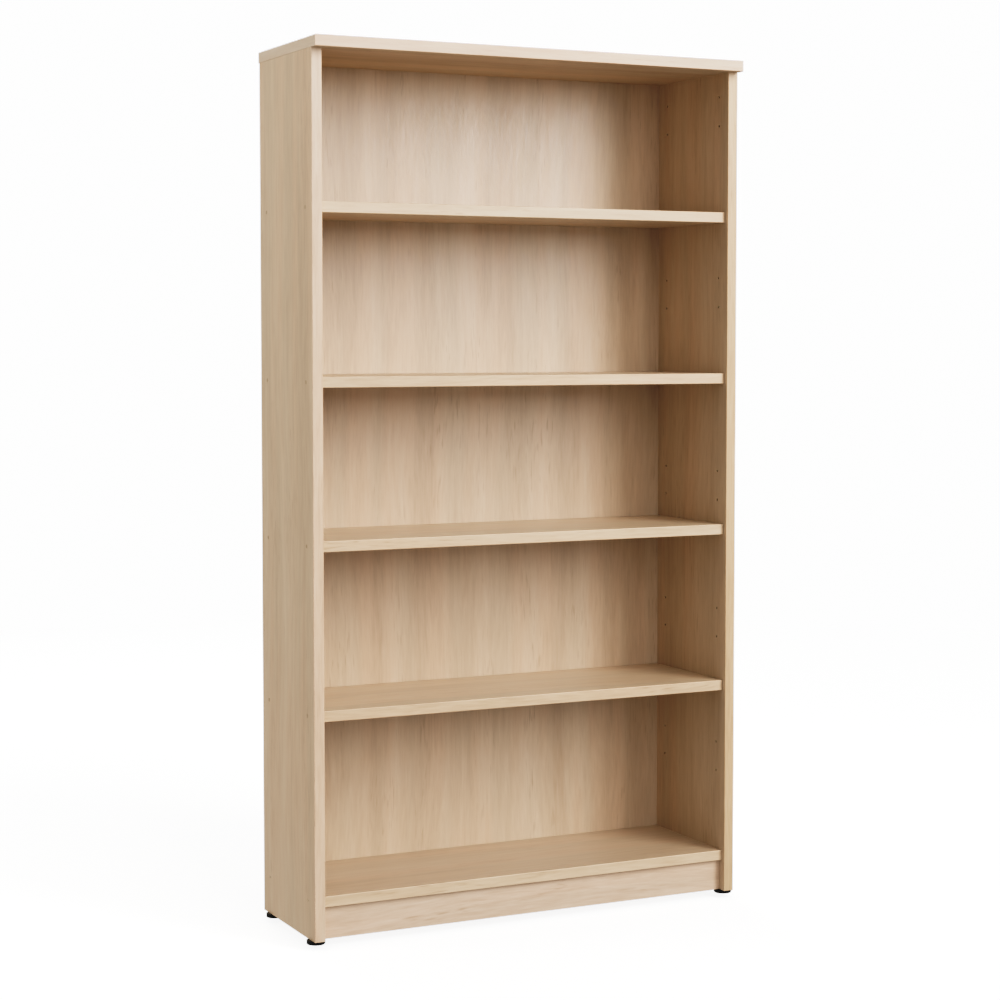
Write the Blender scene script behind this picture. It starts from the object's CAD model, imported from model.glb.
"""Looks for the bookcase: procedural materials on the CAD frame, a pale studio and the camera."""
import math

import bpy
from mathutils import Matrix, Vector

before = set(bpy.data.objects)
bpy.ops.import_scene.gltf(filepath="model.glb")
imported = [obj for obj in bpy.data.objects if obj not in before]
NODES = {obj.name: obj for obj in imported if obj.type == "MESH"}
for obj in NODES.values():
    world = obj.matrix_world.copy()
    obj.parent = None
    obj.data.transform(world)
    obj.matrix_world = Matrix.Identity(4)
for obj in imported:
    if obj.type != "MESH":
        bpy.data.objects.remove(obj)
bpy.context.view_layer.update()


# ---------- colours ----------

def linear(red, green, blue):
    """A screen colour from 0 to 255 as linear light."""
    def channel(value):
        value = value / 255
        return value / 12.92 if value <= 0.04045 else ((value + 0.055) / 1.055) ** 2.4
    return (channel(red), channel(green), channel(blue), 1.0)


OAK_LIGHT = linear(211, 191, 168)
OAK_MID = linear(197, 176, 152)
OAK_DARK = linear(181, 157, 133)
OAK_WARM = linear(203, 178, 153)
OAK_PORE = linear(148, 121, 96)
CHIP_LIGHT = linear(208, 191, 168)
CHIP_DARK = linear(164, 141, 116)
BEECH_LIGHT = linear(221, 188, 148)
BEECH_DARK = linear(186, 146, 102)
BRONZE_DARK = linear(168, 142, 114)
BRONZE_LIGHT = linear(196, 172, 144)
LACQUER_DARK = linear(196, 174, 148)
LACQUER_LIGHT = linear(220, 200, 174)
ZINC_DARK = linear(168, 168, 164)
ZINC_LIGHT = linear(206, 206, 202)
BLACK = linear(13, 12, 11)
SCUFFED_BLACK = linear(36, 35, 33)


# ---------- node helpers ----------

# Places of the colour sockets on a Mix node
COLOUR_A, COLOUR_B, COLOUR_RESULT = 6, 7, 2


class Graph:
    """A material's node tree with short calls for the nodes used here."""

    def __init__(self, name):
        self.material = bpy.data.materials.new(name)
        self.material.use_nodes = True
        self.tree = self.material.node_tree
        self.shader = self.tree.nodes["Principled BSDF"]

    def add(self, kind, **settings):
        node = self.tree.nodes.new(kind)
        for key, value in settings.items():
            setattr(node, key, value)
        return node

    def link(self, source, target):
        self.tree.links.new(source, target)

    def feed(self, socket, value):
        """Links a socket into another, or sets a plain value."""
        if hasattr(value, "is_linked"):
            self.link(value, socket)
        else:
            socket.default_value = value

    def maths(self, operation, first, second):
        node = self.add("ShaderNodeMath", operation=operation)
        self.feed(node.inputs[0], first)
        self.feed(node.inputs[1], second)
        return node.outputs[0]

    def vector(self, operation, first, second=(0, 0, 0)):
        node = self.add("ShaderNodeVectorMath", operation=operation)
        self.feed(node.inputs[0], first)
        self.feed(node.inputs[1], second)
        return node.outputs["Value" if operation == "DOT_PRODUCT" else "Vector"]

    def noise(self, vector, detail=2.0, roughness=0.5, out="Fac"):
        node = self.add("ShaderNodeTexNoise")
        node.inputs["Scale"].default_value = 1.0
        node.inputs["Detail"].default_value = detail
        node.inputs["Roughness"].default_value = roughness
        self.link(vector, node.inputs["Vector"])
        return node.outputs[out]

    def spread(self, value, low, high, to_low=0.0, to_high=1.0):
        """value from low..high to to_low..to_high, held inside that."""
        node = self.add("ShaderNodeMapRange", clamp=True)
        for socket, number in zip(node.inputs[:5], (value, low, high, to_low, to_high)):
            self.feed(socket, number)
        return node.outputs[0]

    def pull(self, value, strength):
        """value around its middle of 0.5, times strength."""
        return self.maths("MULTIPLY", self.maths("SUBTRACT", value, 0.5), strength)

    def mix(self, factor, first, second):
        """A colour between two others: 0 gives the first, 1 the second."""
        node = self.add("ShaderNodeMix", data_type="RGBA")
        self.feed(node.inputs["Factor"], factor)
        self.feed(node.inputs[COLOUR_A], first)
        self.feed(node.inputs[COLOUR_B], second)
        return node.outputs[COLOUR_RESULT]

    def bump(self, height, distance, strength):
        """Small relief of the given height in metres."""
        node = self.add("ShaderNodeBump")
        node.inputs["Strength"].default_value = strength
        node.inputs["Distance"].default_value = distance
        self.link(height, node.inputs["Height"])
        return node.outputs["Normal"]


def stretched(graph, place, grain, along, across):
    """Coordinates for a texture that runs with the grain: cells per metre along it and across it."""
    scale = [across] * 3
    scale[grain] = along
    return graph.vector("MULTIPLY", place, tuple(scale))


# ---------- materials ----------

SEED_STEP = (3.17, 1.93, 2.41)  # metres between the places that two seeds cut from the pattern
WANDER = 0.06  # metres over which the fibres wander
RAW_ROUGHNESS = 0.88
FLAKES_PER_METRE = 420.0
GRIT_PER_METRE = 900.0


def laminate(name, grain, seed, raw_faces=(0, 0, 0), tint=(1.0, 1.0, 1.0), gloss=0.6, rough=0.34,
             figure=0.75, fine=1.0):
    """Light oak laminate.

    grain is 0, 1 or 2 for X, Y or Z. seed picks the place in the pattern. raw_faces marks the axes whose faces show
    the chipboard core. rough is the roughness of the smoothest fibres. figure is how strong the broad bands are, and
    fine how strong the streaks and fibres are.
    """
    g = Graph(name)
    light, mid, dark, warm, pore = (tuple(a * b for a, b in zip(colour, tint + (1.0,)))
                                    for colour in (OAK_LIGHT, OAK_MID, OAK_DARK, OAK_WARM, OAK_PORE))
    coordinates = g.add("ShaderNodeTexCoord")
    place = g.vector("ADD", coordinates.outputs["Object"], tuple(seed * step for step in SEED_STEP))

    # The fibres wander a little sideways
    drift = g.noise(stretched(g, place, grain, along=1.2, across=3.0), detail=1.0, out="Color")
    drift = g.vector("MULTIPLY", g.vector("SUBTRACT", drift, (0.5,) * 3), (WANDER,) * 3)
    place = g.vector("ADD", place, drift)

    bands = g.noise(stretched(g, place, grain, along=0.7, across=14.0), detail=1.5)
    streaks = g.noise(stretched(g, place, grain, along=6.0, across=80.0), detail=3.0, roughness=0.6)
    fibres = g.noise(stretched(g, place, grain, along=20.0, across=260.0), detail=2.0, roughness=0.6)
    ticks = g.noise(stretched(g, place, grain, along=20.0, across=220.0), detail=1.0)
    patches = g.noise(stretched(g, place, grain, along=2.0, across=16.0), detail=2.0)
    warmth = g.noise(stretched(g, place, grain, along=1.0, across=18.0), detail=1.0)

    # Broad bands, streaks and fibres, each pulling the tone up or down from the middle
    lines = g.maths("ADD", g.pull(streaks, 0.5 * fine), g.pull(fibres, 0.4 * fine))
    level = g.maths("ADD", g.pull(bands, figure), lines)
    middle = g.mix(g.spread(warmth, 0.40, 0.62), mid, warm)
    colour = g.mix(g.spread(level, -0.30, 0.0), dark, middle)
    colour = g.mix(g.spread(level, 0.0, 0.30), colour, light)

    # Short dark pores gather in some of the streaks
    pores = g.maths("MULTIPLY", g.spread(ticks, 0.60, 0.75), g.spread(patches, 0.48, 0.62))
    colour = g.mix(g.maths("MULTIPLY", pores, 0.35), colour, pore)

    roughness = g.spread(fibres, 0.25, 0.75, rough, rough + 0.12)
    relief = g.maths("SUBTRACT", g.maths("MULTIPLY", fibres, 0.35), pores)
    if any(raw_faces):
        normal = g.vector("ABSOLUTE", coordinates.outputs["Normal"])
        raw = g.maths("GREATER_THAN", g.vector("DOT_PRODUCT", normal, raw_faces), 0.6)
        chips, chip_relief = chipboard(g, coordinates.outputs["Object"])
        colour = g.mix(raw, colour, chips)
        roughness = g.maths("MAXIMUM", roughness, g.maths("MULTIPLY", raw, RAW_ROUGHNESS))
        relief = g.maths("ADD", relief, g.maths("MULTIPLY", g.maths("MULTIPLY", chip_relief, raw), 3.0))
    g.link(colour, g.shader.inputs["Base Color"])
    g.link(roughness, g.shader.inputs["Roughness"])
    g.link(g.bump(relief, distance=0.00012, strength=0.6), g.shader.inputs["Normal"])
    g.shader.inputs["Specular IOR Level"].default_value = gloss
    return g.material


def chipboard(g, place):
    """Colour and height of a cut chipboard edge: pressed flakes of mixed tone."""
    node = g.add("ShaderNodeTexVoronoi")
    node.inputs["Scale"].default_value = FLAKES_PER_METRE
    g.link(place, node.inputs["Vector"])
    flakes = g.add("ShaderNodeSeparateColor")
    g.link(node.outputs["Color"], flakes.inputs[0])
    grit = g.noise(g.vector("MULTIPLY", place, (GRIT_PER_METRE,) * 3), detail=2.0)
    level = g.maths("ADD", g.maths("MULTIPLY", flakes.outputs[0], 0.7), g.maths("MULTIPLY", grit, 0.4))
    return g.mix(g.spread(level, 0.1, 0.95), CHIP_DARK, CHIP_LIGHT), level


def beech(name):
    """Plain beech with soft rings and short dark flecks."""
    g = Graph(name)
    place = g.add("ShaderNodeTexCoord").outputs["Object"]
    rings = g.noise(g.vector("MULTIPLY", place, (240.0,) * 3), detail=3.0)
    flecks = g.noise(g.vector("MULTIPLY", place, (60.0, 1400.0, 1400.0)), detail=1.0)
    colour = g.mix(g.spread(rings, 0.3, 0.7), BEECH_DARK, BEECH_LIGHT)
    colour = g.mix(g.maths("MULTIPLY", g.spread(flecks, 0.6, 0.75), 0.4), colour, BEECH_DARK)
    g.link(colour, g.shader.inputs["Base Color"])
    g.link(g.spread(rings, 0.3, 0.7, 0.55, 0.7), g.shader.inputs["Roughness"])
    g.link(g.bump(flecks, distance=0.0001, strength=0.5), g.shader.inputs["Normal"])
    return g.material


def metal(name, dark, light, rough, spangle, metallic=1.0):
    """Plated or bronzed steel, with a mottled plating of spangle cells per metre and fine scratches.

    rough holds the lowest and the highest roughness.
    """
    g = Graph(name)
    place = g.add("ShaderNodeTexCoord").outputs["Object"]
    mottle = g.noise(g.vector("MULTIPLY", place, (spangle,) * 3), detail=3.0)
    scratches = g.noise(g.vector("MULTIPLY", place, (3500.0, 500.0, 500.0)), detail=2.0)
    g.link(g.mix(g.spread(mottle, 0.3, 0.7), dark, light), g.shader.inputs["Base Color"])
    g.link(g.spread(scratches, 0.3, 0.7, *rough), g.shader.inputs["Roughness"])
    g.link(g.bump(scratches, distance=0.00003, strength=0.6), g.shader.inputs["Normal"])
    g.shader.inputs["Metallic"].default_value = metallic
    return g.material


def black_plastic(name):
    """Moulded black plastic: a fine spark-eroded texture, scuffed a little greyer in places."""
    g = Graph(name)
    place = g.add("ShaderNodeTexCoord").outputs["Object"]
    grain = g.noise(g.vector("MULTIPLY", place, (2600.0,) * 3), detail=2.0)
    scuffs = g.noise(g.vector("MULTIPLY", place, (90.0, 90.0, 220.0)), detail=4.0, roughness=0.7)
    scuffed = g.spread(scuffs, 0.56, 0.74)
    g.link(g.mix(scuffed, BLACK, SCUFFED_BLACK), g.shader.inputs["Base Color"])
    g.link(g.spread(scuffs, 0.3, 0.75, 0.32, 0.56), g.shader.inputs["Roughness"])
    g.link(g.bump(grain, distance=0.00006, strength=0.7), g.shader.inputs["Normal"])
    return g.material


# ---------- which node gets which material ----------

GRAIN_X, GRAIN_Y, GRAIN_Z = 0, 1, 2
# Axes whose faces show the chipboard core
RAW_Y, RAW_Z, RAW_X_Y, RAW_X_Z, RAW_Y_Z = (0, 1, 0), (0, 0, 1), (1, 1, 0), (1, 0, 1), (0, 1, 1)
FRONT_TINT = (1.05, 1.0, 0.965)
BAND_FIGURE = 0.3
SHELVES = [name.removesuffix("_board") for name in NODES if name.startswith("shelf_") and name.endswith("_board")]


def dress(node, material):
    """Gives a CAD node one material in every slot."""
    for slot in NODES[node].material_slots:
        slot.material = material


def dress_boards():
    """Each board and band is cut from another place in the pattern.

    Bands differ a little in tone, as edging tape does.
    """
    for side, seed, panel_tint, band_tint in (("left", 1, (1.04, 0.995, 0.94), (1.09, 1.035, 1.04)),
                                              ("right", 2, (1.0, 1.0, 1.0), (0.96, 0.885, 0.8))):
        dress(f"{side}_side_panel",
              laminate(f"{side}_side_laminate", GRAIN_Z, seed, RAW_Y_Z, panel_tint, figure=0.55))
        dress(f"{side}_side_front_band",
              laminate(f"{side}_side_band", GRAIN_Z, seed + 20, tint=band_tint, figure=BAND_FIGURE))
        dress(f"top_{side}_band", laminate(f"top_{side}_band", GRAIN_Y, seed + 22))
    dress("top_panel", laminate("top_laminate", GRAIN_X, 3, RAW_Y, gloss=0.35, rough=0.55))
    dress("top_front_band",
          laminate("top_front_band", GRAIN_X, 25, tint=(1.13, 1.03, 1.03), figure=BAND_FIGURE))
    dress("back_panel", laminate("back_laminate", GRAIN_Z, 4, RAW_X_Z, (1.02, 1.01, 1.03), gloss=0.8, fine=0.8))
    dress("plinth_board", laminate("plinth_laminate", GRAIN_X, 5, RAW_Z, (1.08, 1.04, 1.08), figure=0.5))
    dress("bottom_shelf_board",
          laminate("bottom_shelf_laminate", GRAIN_X, 6, RAW_X_Y, (0.93, 0.92, 0.93), gloss=0.8, figure=0.45))
    dress("bottom_shelf_front_band",
          laminate("bottom_shelf_band", GRAIN_X, 26, tint=FRONT_TINT, figure=BAND_FIGURE))
    for seed, shelf in enumerate(SHELVES, start=7):
        dress(f"{shelf}_board", laminate(f"{shelf}_laminate", GRAIN_X, seed, RAW_X_Y, gloss=1.0, figure=0.45))
        dress(f"{shelf}_front_band",
              laminate(f"{shelf}_band", GRAIN_X, seed + 20, tint=FRONT_TINT, figure=BAND_FIGURE))


def dress_fittings():
    """Pins, screws, dowels and feet."""
    bronze = metal("bronzed_steel", BRONZE_DARK, BRONZE_LIGHT, rough=(0.36, 0.5), spangle=900.0, metallic=0.25)
    lacquer = metal("lacquered_screw", LACQUER_DARK, LACQUER_LIGHT, rough=(0.4, 0.52), spangle=900.0,
                    metallic=0.1)
    zinc = metal("zinc_steel", ZINC_DARK, ZINC_LIGHT, rough=(0.26, 0.42), spangle=700.0)
    plastic = black_plastic("black_plastic")
    wood = beech("beech_dowel")
    for node in NODES:
        if "_pin_" in node:
            dress(node, bronze)
        elif node == "bottom_shelf_screws":
            dress(node, lacquer)
        elif node.startswith("foot_pad"):
            dress(node, plastic)
        elif node.startswith("foot_") or node == "back_panel_screws":
            dress(node, zinc)
        elif node.endswith("_dowels"):
            dress(node, wood)


# ---------- studio ----------

BACKDROP = 0.99  # how bright the floor far away and the backdrop look
FLOOR_NEAR = 0.89  # how bright the floor near the bookcase glows on its own
FLOOR_SHADE = 0.15  # the floor's own colour near the bookcase, which shadows show on
FLOOR_FADE = (1.2, 5.0)  # distances in metres between which the floor fades into the backdrop
FLOOR_Z = -0.0102  # just under the feet when they are wound out as far as they go
FLOOR_SIZE = 60
WHITE = (1.0, 1.0, 1.0, 1.0)
MIDDLE = Vector((0.0, 0.0, 0.95))  # what the lights face, in metres
CAMERA_PLACE = (-2.135, -4.3473, 1.2451)  # in metres
CAMERA_TURN = 26.04  # degrees to the right
CAMERA_TIP = 3.167  # degrees down

# Scene light on the left, shown light on the right
TONE_POINTS = ((0.033, 0.0165), (0.073, 0.062), (0.133, 0.152), (0.214, 0.294), (0.3185, 0.467), (0.448, 0.625),
               (0.604, 0.7445), (0.787, 0.819))
# The same for blue alone, after the curve above: a little less in the shadows, a little more in the highlights
BLUE_POINTS = ((0.032, 0.0308), (0.102, 0.0968), (0.223, 0.2235), (0.402, 0.414), (0.578, 0.594), (0.8, 0.806))


def make_floor():
    """A wide pale floor. It doesn't bounce light back onto the bookcase, whose fill comes from the world."""
    bpy.ops.mesh.primitive_plane_add(size=FLOOR_SIZE, location=(0.0, 0.0, FLOOR_Z))
    floor = bpy.context.object
    floor.name = "studio_floor"
    floor.visible_diffuse = False
    floor.visible_glossy = False
    g = Graph("studio_floor")
    # Far from the bookcase it fades into the white backdrop
    place = g.add("ShaderNodeTexCoord").outputs["Object"]
    distance = g.add("ShaderNodeVectorMath", operation="LENGTH")
    g.link(place, distance.inputs[0])
    g.link(g.spread(distance.outputs["Value"], *FLOOR_FADE, FLOOR_SHADE, 0.0), g.shader.inputs["Base Color"])
    g.link(g.spread(distance.outputs["Value"], *FLOOR_FADE, FLOOR_NEAR, BACKDROP),
           g.shader.inputs["Emission Strength"])
    g.shader.inputs["Emission Color"].default_value = WHITE
    g.shader.inputs["Roughness"].default_value = 0.9
    g.shader.inputs["Specular IOR Level"].default_value = 0.0
    floor.data.materials.append(g.material)


def make_world(fill):
    """A white backdrop, which lights the bookcase only with a weak fill."""
    world = bpy.data.worlds.new("studio_world")
    bpy.context.scene.world = world
    world.use_nodes = True
    tree = world.node_tree
    background = tree.nodes["Background"]
    background.inputs["Color"].default_value = WHITE
    path = tree.nodes.new("ShaderNodeLightPath")
    strength = tree.nodes.new("ShaderNodeMapRange")
    tree.links.new(path.outputs["Is Camera Ray"], strength.inputs["Value"])
    strength.inputs["To Min"].default_value = fill
    strength.inputs["To Max"].default_value = BACKDROP
    tree.links.new(strength.outputs["Result"], background.inputs["Strength"])


def soft_box(name, azimuth, elevation, distance, size, power):
    """An area light facing the middle. azimuth is degrees to the right of the front, elevation is above level."""
    turn, rise = math.radians(azimuth), math.radians(elevation)
    away = Vector((math.sin(turn) * math.cos(rise), -math.cos(turn) * math.cos(rise), math.sin(rise)))
    data = bpy.data.lights.new(name, "AREA")
    data.shape = "RECTANGLE"
    data.size, data.size_y = size
    data.energy = power
    lamp = bpy.data.objects.new(name, data)
    lamp.location = MIDDLE + away * distance
    lamp.rotation_euler = (-away).to_track_quat("-Z", "Y").to_euler()
    bpy.context.collection.objects.link(lamp)


def make_camera():
    """A camera in front and to the left, looking a little down."""
    data = bpy.data.cameras.new("camera")
    data.sensor_width = 36.0
    data.lens = 80.35
    data.shift_y = -0.04
    camera = bpy.data.objects.new("camera", data)
    camera.location = CAMERA_PLACE
    camera.rotation_euler = (math.radians(90.0 - CAMERA_TIP), 0.0, math.radians(-CAMERA_TURN))
    bpy.context.collection.objects.link(camera)
    bpy.context.scene.camera = camera


def set_tone():
    """Photographic contrast: an S-curve in linear light, with darker, yellower shadows and softer highlights."""
    settings = bpy.context.scene.view_settings
    settings.view_transform = "Standard"
    settings.use_curve_mapping = True
    mapping = settings.curve_mapping
    _red, _green, blue, combined = mapping.curves
    for curve, points in ((combined, TONE_POINTS), (blue, BLUE_POINTS)):
        for scene_light, shown_light in points:
            curve.points.new(scene_light, shown_light)
    mapping.update()


# ---------- the scene ----------

dress_boards()
dress_fittings()
make_floor()
make_world(fill=0.331)
soft_box("key", azimuth=30, elevation=27.5, distance=8.0, size=(3.0, 6.4), power=347)
soft_box("centre", azimuth=2, elevation=29, distance=8.0, size=(3.0, 7.0), power=133)
soft_box("left", azimuth=-98, elevation=22, distance=6.0, size=(2.6, 4.8), power=85)
soft_box("rear", azimuth=176, elevation=24, distance=7.0, size=(3.0, 5.0), power=150)
make_camera()
set_tone()
